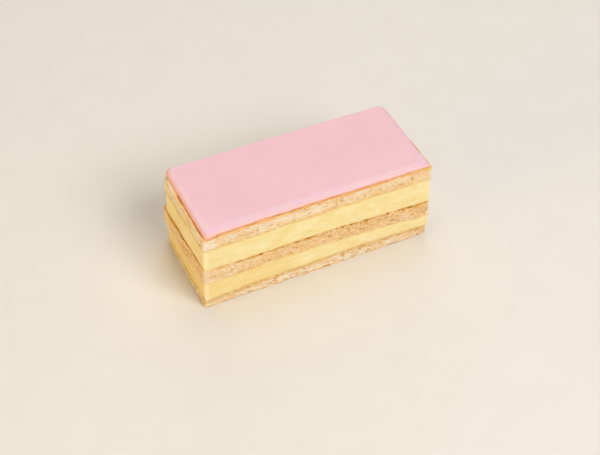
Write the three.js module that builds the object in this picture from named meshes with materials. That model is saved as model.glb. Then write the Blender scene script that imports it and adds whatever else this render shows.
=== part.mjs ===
// A mille feuille slice: three sheets of puff pastry, two thick custard layers and poured icing.
//
// Units are millimetres and +Z is up. The slice lies on its flat underside, and the origin is the
// middle of that underside. +X runs along the slice, and -Y is one of the two long cut faces.

import * as THREE from 'three';
import { mergeVertices } from 'three/addons/utils/BufferGeometryUtils.js';

// The cut block.
const LENGTH = 127;
const WIDTH = 54.3;
const TAPER = 2.6; // how much narrower the +X end is, because the knife ran at a slight angle
const ICING_TOP = 48.9; // height of the icing at the two ends
const ICING_CROWN = 0.4; // how much higher the icing is in the middle of its length

// Neighbouring layers keep this much apart, so that none overlaps the next.
const SEAM_GAP = 0.3;

// The edge of each layer: how far it stands back from the cut block at the left end, the right
// end, the front and the back, how much further back each end goes towards its back corner, how
// much less the front stands back at the +X end, how much the cut wanders, how far it bulges, how
// far the icing rolls over, and the plan radius of the two back corners.
const BOTTOM_SHEET_EDGE = {
  left: 0.1, right: 1.2, front: 0, back: 0, leftSkew: 1.9, rightSkew: 1, drift: 0,
  wander: 0.3, bulge: 0, roll: 0, backRadius: 4,
};
const MIDDLE_SHEET_EDGE = {
  left: 0, right: 0.3, front: 0, back: 0, leftSkew: 0.2, rightSkew: 1, drift: 0,
  wander: 0.3, bulge: 0, roll: 0, backRadius: 4,
};
const TOP_SHEET_EDGE = {
  left: 0.1, right: 0, front: 0, back: 0, leftSkew: 0.2, rightSkew: 1, drift: 0,
  wander: 0.3, bulge: 0, roll: 0, backRadius: 6,
};
const LOWER_CUSTARD_EDGE = {
  left: 0.4, right: 0.6, front: 0.2, back: 0.4, leftSkew: 1.5, rightSkew: 1, drift: 0,
  wander: 0.2, bulge: 0.3, roll: 0, backRadius: 5,
};
const UPPER_CUSTARD_EDGE = {
  left: 0.4, right: 0.6, front: 0.2, back: 0.4, leftSkew: 0.8, rightSkew: 1, drift: 0,
  wander: 0.2, bulge: 0.3, roll: 0, backRadius: 6,
};
const ICING_EDGE = {
  left: 2, right: 0.9, front: 1.25, back: 0, leftSkew: 1.2, rightSkew: 0.4, drift: 0.65,
  wander: 0, bulge: 0, roll: 3, backRadius: 3.5,
};
const BACK_ROLL = 0.4; // the icing rolls over this much less far at the back
const FRONT_RADIUS = 0.9; // plan radius of the two front corners, where the knife left them crisp
const WANDER_PITCH = 7; // a cut edge wanders in and out once in this many times pi
const ROLL_SHARPNESS = 2.8; // exponent of the superellipse that the icing's edge follows; 2 is round

// Every layer is a block with this many cells along, across and up its wall. The cells crowd
// towards the edges, so that the upright corners get the finest steps.
const CELLS_ALONG = 28;
const CELLS_ACROSS = 10;
const PASTRY_CELLS_UP = 1;
const CUSTARD_CELLS_UP = 2;
const ICING_CELLS_UP = 5;
const EDGE_CROWDING = 1.6;

// The five seams between the layers, from the bottom one up. Each has a level, a tilt from the
// -X end to the +X end, a lean from the front face to the back one, a bow that lifts the middle,
// and a slow ripple along the slice.
const BOTTOM_SHEET_TOP = {
  level: 6.0, tilt: 1.5, lean: -0.8, bow: 1.3, ripple: 0.27, waves: 2.25, phase: -1.15,
};
const MIDDLE_SHEET_UNDERSIDE = {
  level: 14.6, tilt: -3.6, lean: -1.2, bow: 2.25, ripple: 0.25, waves: 1.5, phase: 1.96,
};
const MIDDLE_SHEET_TOP = {
  level: 24.75, tilt: -2.8, lean: -0.8, bow: 0.75, ripple: 0.28, waves: 1.5, phase: 1.0,
};
const TOP_SHEET_UNDERSIDE = {
  level: 38.65, tilt: -0.85, lean: -0.5, bow: 0.6, ripple: 0.2, waves: 3.5, phase: -2.07,
};
const TOP_SHEET_TOP = {
  level: 46.7, tilt: 0.1, lean: 0, bow: 0.67, ripple: 0.36, waves: 1, phase: 2.93,
};
const RIPPLE_SLANT = 1.5; // how far a ripple's phase shifts from the front face to the back one

/** Height of a seam above a point of the plan. */
function seamHeight(seam, x, y) {
  const along = x / LENGTH;
  const depth = y / WIDTH + 0.5;
  const arch = 1 - (2 * along) ** 2;
  const turn = 2 * Math.PI * seam.waves * along + seam.phase + RIPPLE_SLANT * depth;
  const slope = seam.tilt * along + seam.lean * depth;
  return seam.level + slope + seam.bow * arch + seam.ripple * Math.sin(turn);
}

/** The lower surface of the layer that lies on a seam. */
function above(seam) {
  return (x, y) => seamHeight(seam, x, y) + SEAM_GAP / 2;
}

/** The upper surface of the layer that lies under a seam. */
function below(seam) {
  return (x, y) => seamHeight(seam, x, y) - SEAM_GAP / 2;
}

/** The flat underside of the slice. */
function underside() {
  return 0;
}

/** The top of the icing, which is a little higher along the middle of the slice. */
function icingTop(x) {
  return ICING_TOP + ICING_CROWN * (1 - (2 * x / LENGTH) ** 2);
}

/** Spreads even steps from -1 to 1 so that they are finest at both ends. */
function crowd(t) {
  return Math.sign(t) * (1 - (1 - Math.abs(t)) ** EDGE_CROWDING);
}

/** How far a cut edge has wandered inwards, between nothing and all of the stated wander. */
function wanderAt(distance, wander) {
  return wander * Math.sin(distance / WANDER_PITCH) ** 2;
}

/**
 * Places a point of the square from -1 to 1 inside the plan of a layer. The plan is the cut
 * block, less the layer's own edge and a further inset all round.
 */
function planPoint(along, across, edge, inset) {
  const slide = crowd(along);
  const shift = crowd(across);
  const endInset = inset + wanderAt(shift * WIDTH / 2, edge.wander);
  const depth = (shift + 1) / 2;
  const left = LENGTH / 2 - edge.left - edge.leftSkew * depth - endInset;
  const right = LENGTH / 2 - edge.right - edge.rightSkew * depth - endInset;
  let x = THREE.MathUtils.mapLinear(slide, -1, 1, -left, right);

  const fromLeft = x / LENGTH + 0.5;
  const wandered = wanderAt(x, edge.wander);
  const front = WIDTH / 2 - edge.front + edge.drift * fromLeft - wandered - inset;
  const backInset = Math.min(inset, inset * BACK_ROLL);
  const back = WIDTH / 2 - edge.back - TAPER * fromLeft - wandered - backInset;
  let y = THREE.MathUtils.mapLinear(shift, -1, 1, -front, back);

  // The square of one radius in each corner is pressed into a quarter of a disc.
  const end = x > 0 ? right : left;
  const isBack = y > 0;
  const side = isBack ? back : front;
  const radius = isBack ? edge.backRadius : FRONT_RADIUS;
  const p = 1 - (end - Math.abs(x)) / radius;
  const q = 1 - (side - Math.abs(y)) / radius;
  if (p > 0 && q > 0) {
    x = Math.sign(x) * (end - radius + radius * p * Math.sqrt(1 - q * q / 2));
    y = Math.sign(y) * (side - radius + radius * q * Math.sqrt(1 - p * p / 2));
  }
  return [x, y];
}

/**
 * A closed layer between two height functions. Its wall bulges or stands straight, or, where the
 * edge has a roll, follows a quarter of a superellipse from an upright foot to a level top.
 */
function layer(name, lower, upper, edge, cellsUp, material) {
  const block = new THREE.BoxGeometry(2, 2, 1, CELLS_ALONG, CELLS_ACROSS, cellsUp);
  block.deleteAttribute('normal');
  block.deleteAttribute('uv');
  const geometry = mergeVertices(block);
  const position = geometry.attributes.position;

  for (let i = 0; i < position.count; i++) {
    const part = position.getZ(i) + 0.5;
    const quarter = part * Math.PI / 2;
    const power = 2 / ROLL_SHARPNESS;
    const rise = edge.roll > 0 ? Math.sin(quarter) ** power : part;
    const rolled = edge.roll * (1 - Math.max(0, Math.cos(quarter)) ** power);
    const inset = rolled - edge.bulge * Math.sin(part * Math.PI);
    const [x, y] = planPoint(position.getX(i), position.getY(i), edge, inset);
    const z = THREE.MathUtils.lerp(lower(x, y), upper(x, y), rise);
    position.setXYZ(i, x, y, z);
  }

  geometry.computeVertexNormals();
  const mesh = new THREE.Mesh(geometry, material);
  mesh.name = name;
  return mesh;
}

function bakedPastry(color) {
  return new THREE.MeshStandardMaterial({ color, roughness: 0.85, metalness: 0 });
}

function setCustard() {
  return new THREE.MeshStandardMaterial({ color: 0xfbe59b, roughness: 0.5, metalness: 0 });
}

function pouredIcing() {
  return new THREE.MeshStandardMaterial({ color: 0xf2c3cd, roughness: 0.4, metalness: 0 });
}

function bottomPastrySheet() {
  const upper = below(BOTTOM_SHEET_TOP);
  const material = bakedPastry(0xe6d0a2);
  return layer('bottom_pastry_sheet', underside, upper, BOTTOM_SHEET_EDGE, PASTRY_CELLS_UP, material);
}

function middlePastrySheet() {
  const lower = above(MIDDLE_SHEET_UNDERSIDE);
  const upper = below(MIDDLE_SHEET_TOP);
  const material = bakedPastry(0xe2b87f);
  return layer('middle_pastry_sheet', lower, upper, MIDDLE_SHEET_EDGE, PASTRY_CELLS_UP, material);
}

function topPastrySheet() {
  const lower = above(TOP_SHEET_UNDERSIDE);
  const upper = below(TOP_SHEET_TOP);
  const material = bakedPastry(0xebcc9c);
  return layer('top_pastry_sheet', lower, upper, TOP_SHEET_EDGE, PASTRY_CELLS_UP, material);
}

function lowerCustard() {
  const lower = above(BOTTOM_SHEET_TOP);
  const upper = below(MIDDLE_SHEET_UNDERSIDE);
  return layer('lower_custard', lower, upper, LOWER_CUSTARD_EDGE, CUSTARD_CELLS_UP, setCustard());
}

function upperCustard() {
  const lower = above(MIDDLE_SHEET_TOP);
  const upper = below(TOP_SHEET_UNDERSIDE);
  return layer('upper_custard', lower, upper, UPPER_CUSTARD_EDGE, CUSTARD_CELLS_UP, setCustard());
}

function icing() {
  const lower = above(TOP_SHEET_TOP);
  return layer('icing', lower, icingTop, ICING_EDGE, ICING_CELLS_UP, pouredIcing());
}

const slice = new THREE.Group();

slice.add(
  bottomPastrySheet(),
  lowerCustard(),
  middlePastrySheet(),
  upperCustard(),
  topPastrySheet(),
  icing(),
);

export default slice;
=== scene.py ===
# %% [markdown]
# # A mille feuille slice
#
# Three sheets of puff pastry hold two thick layers of custard, and poured pink icing covers the
# top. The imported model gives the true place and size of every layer. This script keeps those and
# gives each layer its real surface: broken pastry leaves, soft knife-cut custard, satin icing.

import math

import bmesh
import bpy
import numpy as np
from mathutils import Matrix, Vector


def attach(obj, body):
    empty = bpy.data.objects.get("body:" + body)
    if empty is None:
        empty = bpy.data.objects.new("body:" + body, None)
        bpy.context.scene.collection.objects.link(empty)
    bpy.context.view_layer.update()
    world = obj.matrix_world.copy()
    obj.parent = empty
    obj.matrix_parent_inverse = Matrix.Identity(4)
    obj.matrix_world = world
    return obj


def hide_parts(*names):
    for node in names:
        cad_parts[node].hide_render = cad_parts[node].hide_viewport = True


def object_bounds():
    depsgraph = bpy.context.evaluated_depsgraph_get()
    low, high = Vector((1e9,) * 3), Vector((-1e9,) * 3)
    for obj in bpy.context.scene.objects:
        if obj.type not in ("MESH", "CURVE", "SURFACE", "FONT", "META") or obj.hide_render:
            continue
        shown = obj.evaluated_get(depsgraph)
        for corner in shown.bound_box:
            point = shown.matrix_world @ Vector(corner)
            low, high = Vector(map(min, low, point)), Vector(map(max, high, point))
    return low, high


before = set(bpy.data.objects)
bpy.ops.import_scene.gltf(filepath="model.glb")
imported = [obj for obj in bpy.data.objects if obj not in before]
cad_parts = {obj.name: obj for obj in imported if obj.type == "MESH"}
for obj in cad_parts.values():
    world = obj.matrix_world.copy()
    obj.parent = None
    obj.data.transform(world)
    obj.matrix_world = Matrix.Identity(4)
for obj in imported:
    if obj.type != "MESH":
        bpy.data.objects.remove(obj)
cad_low, cad_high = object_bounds()
MM = 0.001  # the shapes below are worked out in millimetres, and a mesh is stored in metres
length, width, height = (cad_high - cad_low) / MM
print(f"slice {length:.1f} by {width:.1f} by {height:.1f} mm")

# %% [markdown]
# ## Camera
#
# A long lens from well back keeps the edges of a small thing nearly parallel. A camera can be
# aimed with a Track To constraint, but a heading, a pitch and a small roll say the same thing in
# three numbers, and nothing has to be solved when the scene runs.

# %% Place the camera
CAMERA_PLACE = Vector((-0.3281, -0.66635, 0.7373))
CAMERA_HEADING = math.radians(-26.39)
CAMERA_PITCH = math.radians(44.543)
CAMERA_ROLL = math.radians(0.71)
CAMERA_LENS = 120.45
SENSOR_WIDTH = 36.0

camera = bpy.data.objects.new("camera", bpy.data.cameras.new("camera"))
camera.data.lens = CAMERA_LENS
camera.data.sensor_width = SENSOR_WIDTH
camera.matrix_world = (
    Matrix.Translation(CAMERA_PLACE)
    @ Matrix.Rotation(CAMERA_HEADING, 4, "Z")
    @ Matrix.Rotation(math.pi / 2 - CAMERA_PITCH, 4, "X")
    @ Matrix.Rotation(CAMERA_ROLL, 4, "Z")
)
bpy.context.scene.collection.objects.link(camera)
bpy.context.scene.camera = camera
print("camera is", round((CAMERA_PLACE - (cad_low + cad_high) / 2).length, 3), "m away")

# %% [markdown]
# ## Shader helper
#
# A finish is a small network of nodes. Adding the nodes one by one buries the recipe under
# wiring, so a `Value` stands for one number that varies over a surface and can be used in plain
# arithmetic, and `Finish.node` adds any other node in one line.


# %% Colours for a shader
def tint(red, green, blue):
    """A colour given as screen values from 0 to 255, as the linear values that a shader uses."""
    screen = np.array((red, green, blue)) / 255
    linear = np.where(screen <= 0.04045, screen / 12.92, ((screen + 0.055) / 1.055) ** 2.4)
    return tuple(float(part) for part in linear)


print("a shader sees middle grey as", round(tint(128, 128, 128)[0], 3))


# %% A value that varies over a surface
class Value:
    """A shader output that takes part in arithmetic: each operation adds one Math node."""

    def __init__(self, finish, socket):
        self.finish = finish
        self.socket = socket

    def math(self, operation, first, second, clamp=False):
        """One Math node on two numbers or values."""
        settings = {"operation": operation, "use_clamp": clamp}
        return self.finish.node("ShaderNodeMath", settings, {0: first, 1: second})

    def __add__(self, other):
        return self.math("ADD", self, other)

    __radd__ = __add__

    def __sub__(self, other):
        return self.math("SUBTRACT", self, other)

    def __rsub__(self, other):
        return self.math("SUBTRACT", other, self)

    def __mul__(self, other):
        return self.math("MULTIPLY", self, other)

    __rmul__ = __mul__

    def clamp(self):
        """The value cut to the range from 0 to 1."""
        return self.math("ADD", self, 0.0, clamp=True)

    def fade(self, low, high):
        """0 below low and 1 above high, with a smooth step between; low may be above high."""
        settings = {"interpolation_type": "SMOOTHSTEP"}
        sockets = {"Value": self, "From Min": low, "From Max": high}
        return self.finish.node("ShaderNodeMapRange", settings, sockets, "Result")


print("a value can be added, subtracted, multiplied, clamped and faded")


# %% A material built up by calls
class Finish:
    """A material that is built up by calls."""

    def __init__(self, name):
        self.material = bpy.data.materials.new(name)
        self.material.use_nodes = True
        self.tree = self.material.node_tree
        self.shader = self.tree.nodes["Principled BSDF"]
        self.place = self.node("ShaderNodeTexCoord", out="Object")

    def plug(self, socket, value):
        """Links a value to a socket, or sets the socket; a colour is given as screen values."""
        if isinstance(value, Value):
            self.tree.links.new(value.socket, socket)
        elif socket.type == "RGBA":
            socket.default_value = (*tint(*value), 1.0)
        else:
            socket.default_value = value

    def node(self, kind, settings=None, sockets=None, out=0):
        """Adds a node with its settings and sockets, and returns one of its outputs."""
        node = self.tree.nodes.new(kind)
        for name, value in (settings or {}).items():
            setattr(node, name, value)
        for name, value in (sockets or {}).items():
            self.plug(node.inputs[name], value)
        return Value(self, node.outputs[out])

    def stored(self, name):
        """A number that was stored on the mesh, point by point."""
        return self.node("ShaderNodeAttribute", {"attribute_name": name}, out="Fac")

    def grain(self, across, high, detail=2.0, roughness=0.5):
        """Cloudy noise from 0 to 1, whose grains are so many millimetres across and high."""
        scale = [1.0 / (size * MM) for size in (across, across, high)]
        place = self.node("ShaderNodeMapping", None, {"Vector": self.place, "Scale": scale})
        sockets = {"Vector": place, "Scale": 1.0, "Detail": detail, "Roughness": roughness}
        return self.node("ShaderNodeTexNoise", None, sockets, "Fac")

    def mix(self, amount, low, high):
        """A colour between low and high."""
        sockets = {"Factor": amount, 6: low, 7: high}
        return self.node("ShaderNodeMix", {"data_type": "RGBA"}, sockets, 2)

    def bump(self, relief, depth, normal=None):
        """A normal from a relief; a rise of 1 in it stands for a depth in metres."""
        sockets = {"Height": relief, "Distance": depth, "Strength": 1.0}
        if normal is not None:
            sockets["Normal"] = normal
        return self.node("ShaderNodeBump", None, sockets, "Normal")

    def layered(self, colour, *coats):
        """Coats laid over a colour one by one, each given by its amount and its colour."""
        for amount, coat in coats:
            colour = self.mix(amount, colour, coat)
        return colour

    def surface(self, **sockets):
        """Sets the shader's sockets by their names, and gives the finished material."""
        for name, value in sockets.items():
            self.plug(self.shader.inputs[name.replace("_", " ").title()], value)
        return self.material


print("a finish can mix, layer and bump, and take noise and stored numbers")

# %% [markdown]
# ## Floor and light
#
# The slice stands on a plain pale floor. A large soft lamp in front and to the right lights the
# long face and the icing. A low, warm one on the left stands for the light that a wooden table
# throws back, so that the short end lies in golden shade, not in grey. A weak one keeps the back
# from going dull. The Standard view keeps colours as they are mixed.

# %% Floor
FLOOR_SIZE = 6.0
FLOOR_GRAIN = 20.0
FLOOR_ROUGHNESS = 0.7


def pale_floor():
    """Nearly white, with a faint cloudiness."""
    finish = Finish("pale_floor")
    cloud = finish.grain(FLOOR_GRAIN, FLOOR_GRAIN)
    colour = finish.mix(cloud, (229, 224, 217), (233, 229, 223))
    return finish.surface(base_color=colour, roughness=FLOOR_ROUGHNESS)


half_floor = FLOOR_SIZE / 2
floor_mesh = bpy.data.meshes.new("floor")
floor_corners = [(-1, -1), (1, -1), (1, 1), (-1, 1)]
floor_points = [(x * half_floor, y * half_floor, cad_low.z) for x, y in floor_corners]
floor_mesh.from_pydata(floor_points, [], [(0, 1, 2, 3)])
floor_mesh.materials.append(pale_floor())
floor = bpy.data.objects.new("floor", floor_mesh)
bpy.context.scene.collection.objects.link(floor)
print("floor at z =", round(cad_low.z, 4))

# %% Lamps and world
LAMPS = {  # place, size, power and colour
    "front_lamp": ((0.35, -1.1, 1.15), 0.9, 18.8, (1.0, 0.98, 0.95)),
    "top_lamp": ((0.1, 0.5, 1.4), 1.0, 4.7, (1.0, 0.99, 0.97)),
    "low_left_lamp": ((-0.88, -0.15, 0.16), 0.4, 3.45, (1.0, 0.71, 0.19)),
    "back_lamp": ((0.5, 1.2, 0.7), 0.9, 3.0, (1.0, 0.98, 0.95)),
}
WORLD_COLOUR = (1.0, 0.97, 0.94, 1.0)
WORLD_STRENGTH = 0.29


def soft_lamp(name, place, size, power, colour):
    """A square lamp that faces the middle of the slice."""
    data = bpy.data.lights.new(name, "AREA")
    data.size = size
    data.energy = power
    data.color = colour
    lamp = bpy.data.objects.new(name, data)
    lamp.location = place
    lamp.rotation_mode = "QUATERNION"
    aim = (cad_low + cad_high) / 2 - Vector(place)
    lamp.rotation_quaternion = aim.to_track_quat("-Z", "Y")
    bpy.context.scene.collection.objects.link(lamp)


for name, settings in LAMPS.items():
    soft_lamp(name, *settings)
world = bpy.data.worlds.new("studio")
world.use_nodes = True
world.node_tree.nodes["Background"].inputs["Color"].default_value = WORLD_COLOUR
world.node_tree.nodes["Background"].inputs["Strength"].default_value = WORLD_STRENGTH
bpy.context.scene.world = world
bpy.context.scene.view_settings.view_transform = "Standard"
print("lamps:", list(LAMPS))

# %% [markdown]
# ## Noise
#
# Every uneven thing here comes from one kind of noise: random numbers on a lattice, blended
# smoothly between its points. It is worked out for whole arrays of points at once. Because it is
# noise in space, a pattern runs round a corner of the slice without a seam.

# %% Lattice noise
LATTICE = 48


def noise(x, y, z, seed):
    """
    Smooth noise from -1 to 1. Each point takes the eight random numbers round it, and blends
    them with the smooth step 3t^2 - 2t^3 of its place between them.
    """
    table = np.random.default_rng(seed).uniform(-1, 1, (LATTICE, LATTICE, LATTICE))
    x, y, z = np.broadcast_arrays(x, y, z)
    cells = [np.floor(part).astype(int) for part in (x, y, z)]
    steps = [part - cell for part, cell in zip((x, y, z), cells)]
    steps = [step * step * (3 - 2 * step) for step in steps]
    total = np.zeros(x.shape)
    for corner in np.ndindex(2, 2, 2):
        weight = np.ones(x.shape)
        for axis, side in enumerate(corner):
            weight *= steps[axis] if side else 1 - steps[axis]
        index = tuple((cell + side) % LATTICE for cell, side in zip(cells, corner))
        total += weight * table[index]
    return total


def patches(x, y, z, across, high, seed):
    """Noise in patches of so many millimetres across and high."""
    return noise(x / across, y / across, z / high, seed)


def waves(x, y, across, seed, level=0.5):
    """Noise that is the same at every height; level picks one slice of the lattice."""
    return noise(x / across, y / across, level, seed)


def rough(x, y, z, size, seed, octaves=3):
    """Noise with grains of a size, to which each octave adds grains of half the size and height."""
    total = 0.0
    for octave in range(octaves):
        scale = 2.0**octave / size
        total = total + noise(x * scale, y * scale, z * scale, seed + octave) / 2.0**octave
    return total


def ramp(value, low, high):
    """0 below low and 1 above high, with 3t^2 - 2t^3 between; low may be above high."""
    part = np.clip((value - low) / (high - low), 0, 1)
    return part * part * (3 - 2 * part)


sample = rough(*np.meshgrid(np.arange(20.0), np.arange(20.0), 0.5), 3.0, 1)
print(f"noise runs from {sample.min():.2f} to {sample.max():.2f}")

# %% [markdown]
# ## Reading the layers
#
# The seams between the layers are gently curved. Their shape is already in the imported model, so
# it is read from there: the upward or downward faces of a layer give points, and a polynomial in
# x and y is fitted through them. A seam lies half way between the two layers that meet at it.

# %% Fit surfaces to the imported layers
LAYERS = (
    "bottom_pastry_sheet",
    "lower_custard",
    "middle_pastry_sheet",
    "upper_custard",
    "top_pastry_sheet",
    "icing",
)
POWERS_ALONG = 11
POWERS_ACROSS = 3
LEVEL = 0.9  # a face whose normal rises more than this belongs to the top of a layer


def node_faces(node):
    """The corners of each triangle of a packed layer, in millimetres, and its normal."""
    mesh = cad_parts[node].data
    mesh.calc_loop_triangles()
    points = np.empty(len(mesh.vertices) * 3)
    mesh.vertices.foreach_get("co", points)
    corners = np.empty(len(mesh.loop_triangles) * 3, dtype=int)
    mesh.loop_triangles.foreach_get("vertices", corners)
    triangles = points.reshape(-1, 3)[corners].reshape(-1, 3, 3) / MM
    across = np.cross(triangles[:, 1] - triangles[:, 0], triangles[:, 2] - triangles[:, 0])
    return triangles, across / np.linalg.norm(across, axis=1)[:, None]


def powers(x, y):
    """All products of a power of x and a power of y, with both scaled to the slice."""
    along = np.asarray(x)[..., None] / (length / 2)
    across = np.asarray(y)[..., None] / (width / 2)
    terms = [along**i * across**j for i in range(POWERS_ALONG) for j in range(POWERS_ACROSS)]
    return np.concatenate(terms, axis=-1)


def fitted_surface(node, side):
    """The top (side 1) or the underside (side -1) of a layer, as a function of x and y."""
    triangles, normals = node_faces(node)
    points = triangles[normals[:, 2] * side > LEVEL].reshape(-1, 3)
    factors = np.linalg.lstsq(powers(points[:, 0], points[:, 1]), points[:, 2], rcond=None)[0]
    error = np.abs(powers(points[:, 0], points[:, 1]) @ factors - points[:, 2]).max()
    print(f"{node} side {side}: fitted within {error:.3f} mm")
    return lambda x, y: powers(x, y) @ factors


def seam(below, above):
    """The surface half way between the top of one layer and the underside of the next."""
    low = fitted_surface(below, 1)
    high = fitted_surface(above, -1)
    return lambda x, y: (low(x, y) + high(x, y)) / 2


seams = [seam(*pair) for pair in zip(LAYERS[:-1], LAYERS[1:])]

# %% [markdown]
# A seam of real food is never that smooth. Custard sinks into dips of the pastry and leaves
# ridges out, so a little noise of two sizes is added. Both layers use the same noise, so they
# still meet.

# %% Uneven seams
SEAM_WAVE = 0.28
SEAM_WAVE_LENGTH = 9.0
SEAM_CRUMB = 0.18
SEAM_CRUMB_LENGTH = 2.2


def uneven(smooth, seed):
    """A seam with long waves and short crumbs added to it."""

    def height_at(x, y):
        wave = waves(x, y, SEAM_WAVE_LENGTH, seed)
        crumb = rough(x, y, 0.5, SEAM_CRUMB_LENGTH, seed + 1, octaves=2)
        return smooth(x, y) + SEAM_WAVE * wave + SEAM_CRUMB * crumb

    return height_at


def underside(x, y):
    """The flat underside of the slice."""
    return np.zeros(np.shape(x))


levels = [underside] + [uneven(smooth, 100 + 10 * i) for i, smooth in enumerate(seams)]
print("seam heights in the middle:", [round(float(level(0.0, 0.0)), 1) for level in levels])

# %% [markdown]
# ## Outline
#
# Seen from above each layer is a rectangle that a knife cut: crisp corners in front, rounder ones
# at the back, one end a little narrower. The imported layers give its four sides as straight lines.
# The outline starts as evenly spaced points round a square. They are placed between those lines,
# and the square of one radius in each corner is pressed into a quarter of a disc.

# %% Sides of a layer
UPRIGHT = 0.95
SIDES = {"left": (-1, 0, 0), "right": (1, 0, 0), "front": (0, -1, 0), "back": (0, 1, 0)}


def side_lines(node):
    """For each side of a layer, the slope and offset of the straight line that its foot follows."""
    triangles, normals = node_faces(node)
    lines = {}
    for side, direction in SIDES.items():
        points = triangles[normals @ np.array(direction) > UPRIGHT].reshape(-1, 3)
        across, along = (0, 1) if direction[0] else (1, 0)
        lines[side] = np.polyfit(points[:, along], points[:, across], 1)
    return lines


outlines = {node: side_lines(node) for node in LAYERS}
for node, lines in outlines.items():
    print(node, {side: round(float(line[1]), 2) for side, line in lines.items()})

# %% Outline of a layer
FRONT_RADIUS = 0.9
BACK_RADII = dict(zip(LAYERS, (4.0, 5.0, 4.0, 6.0, 6.0, 3.5)))
BACK_ROLL = 0.4  # the icing rolls over this much less far at the back


def square_outline(spacing):
    """Points round a square from -1 to 1, counter-clockwise from the front left corner."""
    steps_along = int(round(length / spacing))
    steps_across = int(round(width / spacing))
    along = np.linspace(-1, 1, steps_along, endpoint=False)
    across = np.linspace(-1, 1, steps_across, endpoint=False)
    x = np.concatenate([along, np.ones(steps_across), -along, -np.ones(steps_across)])
    y = np.concatenate([-np.ones(steps_along), across, np.ones(steps_along), -across])
    return x, y


def plan(node, along, across, inset):
    """
    Places points of the square from -1 to 1 between the four side lines of a layer, all moved
    inwards by an inset. With p and q the places of a point in a corner's square, the corner is
    pressed round by p * sqrt(1 - q^2 / 2) and q * sqrt(1 - p^2 / 2).
    """
    lines = outlines[node]
    back_inset = min(inset, inset * BACK_ROLL)

    def between(low, high, part):
        return low + (high - low) * (part + 1) / 2

    def ends(y):
        return np.polyval(lines["left"], y) + inset, np.polyval(lines["right"], y) - inset

    def sides(x):
        return np.polyval(lines["front"], x) + inset, np.polyval(lines["back"], x) - back_inset

    x = between(*ends(across * width / 2), along)
    y = between(*sides(x), across)
    x_left, x_right = ends(y)
    y_front, y_back = sides(x)
    radius = np.where(across > 0, BACK_RADII[node], FRONT_RADIUS)
    to_end = np.where(along > 0, x_right - x, x - x_left)
    to_side = np.where(across > 0, y_back - y, y - y_front)
    p = np.clip(1 - to_end / radius, 0, 1)
    q = np.clip(1 - to_side / radius, 0, 1)
    shift_x = radius * (p - p * np.sqrt(1 - q * q / 2))
    shift_y = radius * (q - q * np.sqrt(1 - p * p / 2))
    return x - np.sign(along) * shift_x, y - np.sign(across) * shift_y


def outward(x, y):
    """Unit vectors that point out of a counter-clockwise outline, square to its tangents."""
    step_x = np.roll(x, -1) - np.roll(x, 1)
    step_y = np.roll(y, -1) - np.roll(y, 1)
    size = np.hypot(step_x, step_y)
    return step_y / size, -step_x / size


rim = plan("middle_pastry_sheet", *square_outline(1.0), 0.0)
print(f"outline of {len(rim[0])} points, {np.ptp(rim[0]):.1f} by {np.ptp(rim[1]):.1f} mm")

# %% [markdown]
# ## Skin of a layer
#
# Every layer is one closed skin: rows of points that start on a line under the middle, run out
# to the lower edge, up the wall, and back in to a line over the middle. Only the wall and the
# first millimetres of the two faces show, so the rows are close there and wide apart elsewhere.
# A solid block with a Displace modifier could do it too, but then the fine rows would be spent
# on faces that nobody sees.

# %% Rows that run in to the middle
RIM_ROWS = (0.3, 1.0, 3.0)
INNER_ROWS = (0.4, 1.0)
MIDDLE_REACH = (length - width) / 2
KNOT = MIDDLE_REACH / 24  # spacing of the points on the middle line


def towards_middle(x, y, depths, fractions):
    """
    Rows that go in from an outline: first by depths in millimetres, then by fractions of the
    way to a line along the middle of the slice, on which the last row lies. There each point
    moves to the nearest knot of the line, so that its two sides share their points.
    """
    line_x = np.clip(x, -MIDDLE_REACH, MIDDLE_REACH)
    away = np.hypot(line_x - x, y)
    shares = [depth / away for depth in depths]
    last = shares[-1]
    shares += [last + (1 - last) * fraction for fraction in fractions]
    rows = [(x + (line_x - x) * share, y * (1 - share)) for share in shares]
    rows[-1] = (np.round(line_x / KNOT) * KNOT, np.zeros(len(y)))
    return rows


print(f"middle line from {-MIDDLE_REACH:.1f} to {MIDDLE_REACH:.1f} mm, a knot each {KNOT:.2f} mm")

# %% Make a piece from rows
MERGE_DISTANCE = 1e-6


def new_piece(name, points, faces, stored):
    """A smooth object from points in millimetres, with one number per point for each name."""
    mesh = bpy.data.meshes.new(name)
    mesh.from_pydata((points * MM).tolist(), [], faces)
    for key, numbers in stored.items():
        attribute = mesh.attributes.new(key, "FLOAT", "POINT")
        attribute.data.foreach_set("value", np.ravel(numbers).astype(np.float32))
    mesh.shade_smooth()
    piece = bpy.data.objects.new(name, mesh)
    bpy.context.scene.collection.objects.link(piece)
    return piece


def ride(piece, material):
    """Gives a piece its finish and lets it ride on the slice."""
    piece.data.materials.append(material)
    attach(piece, "root")


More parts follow.
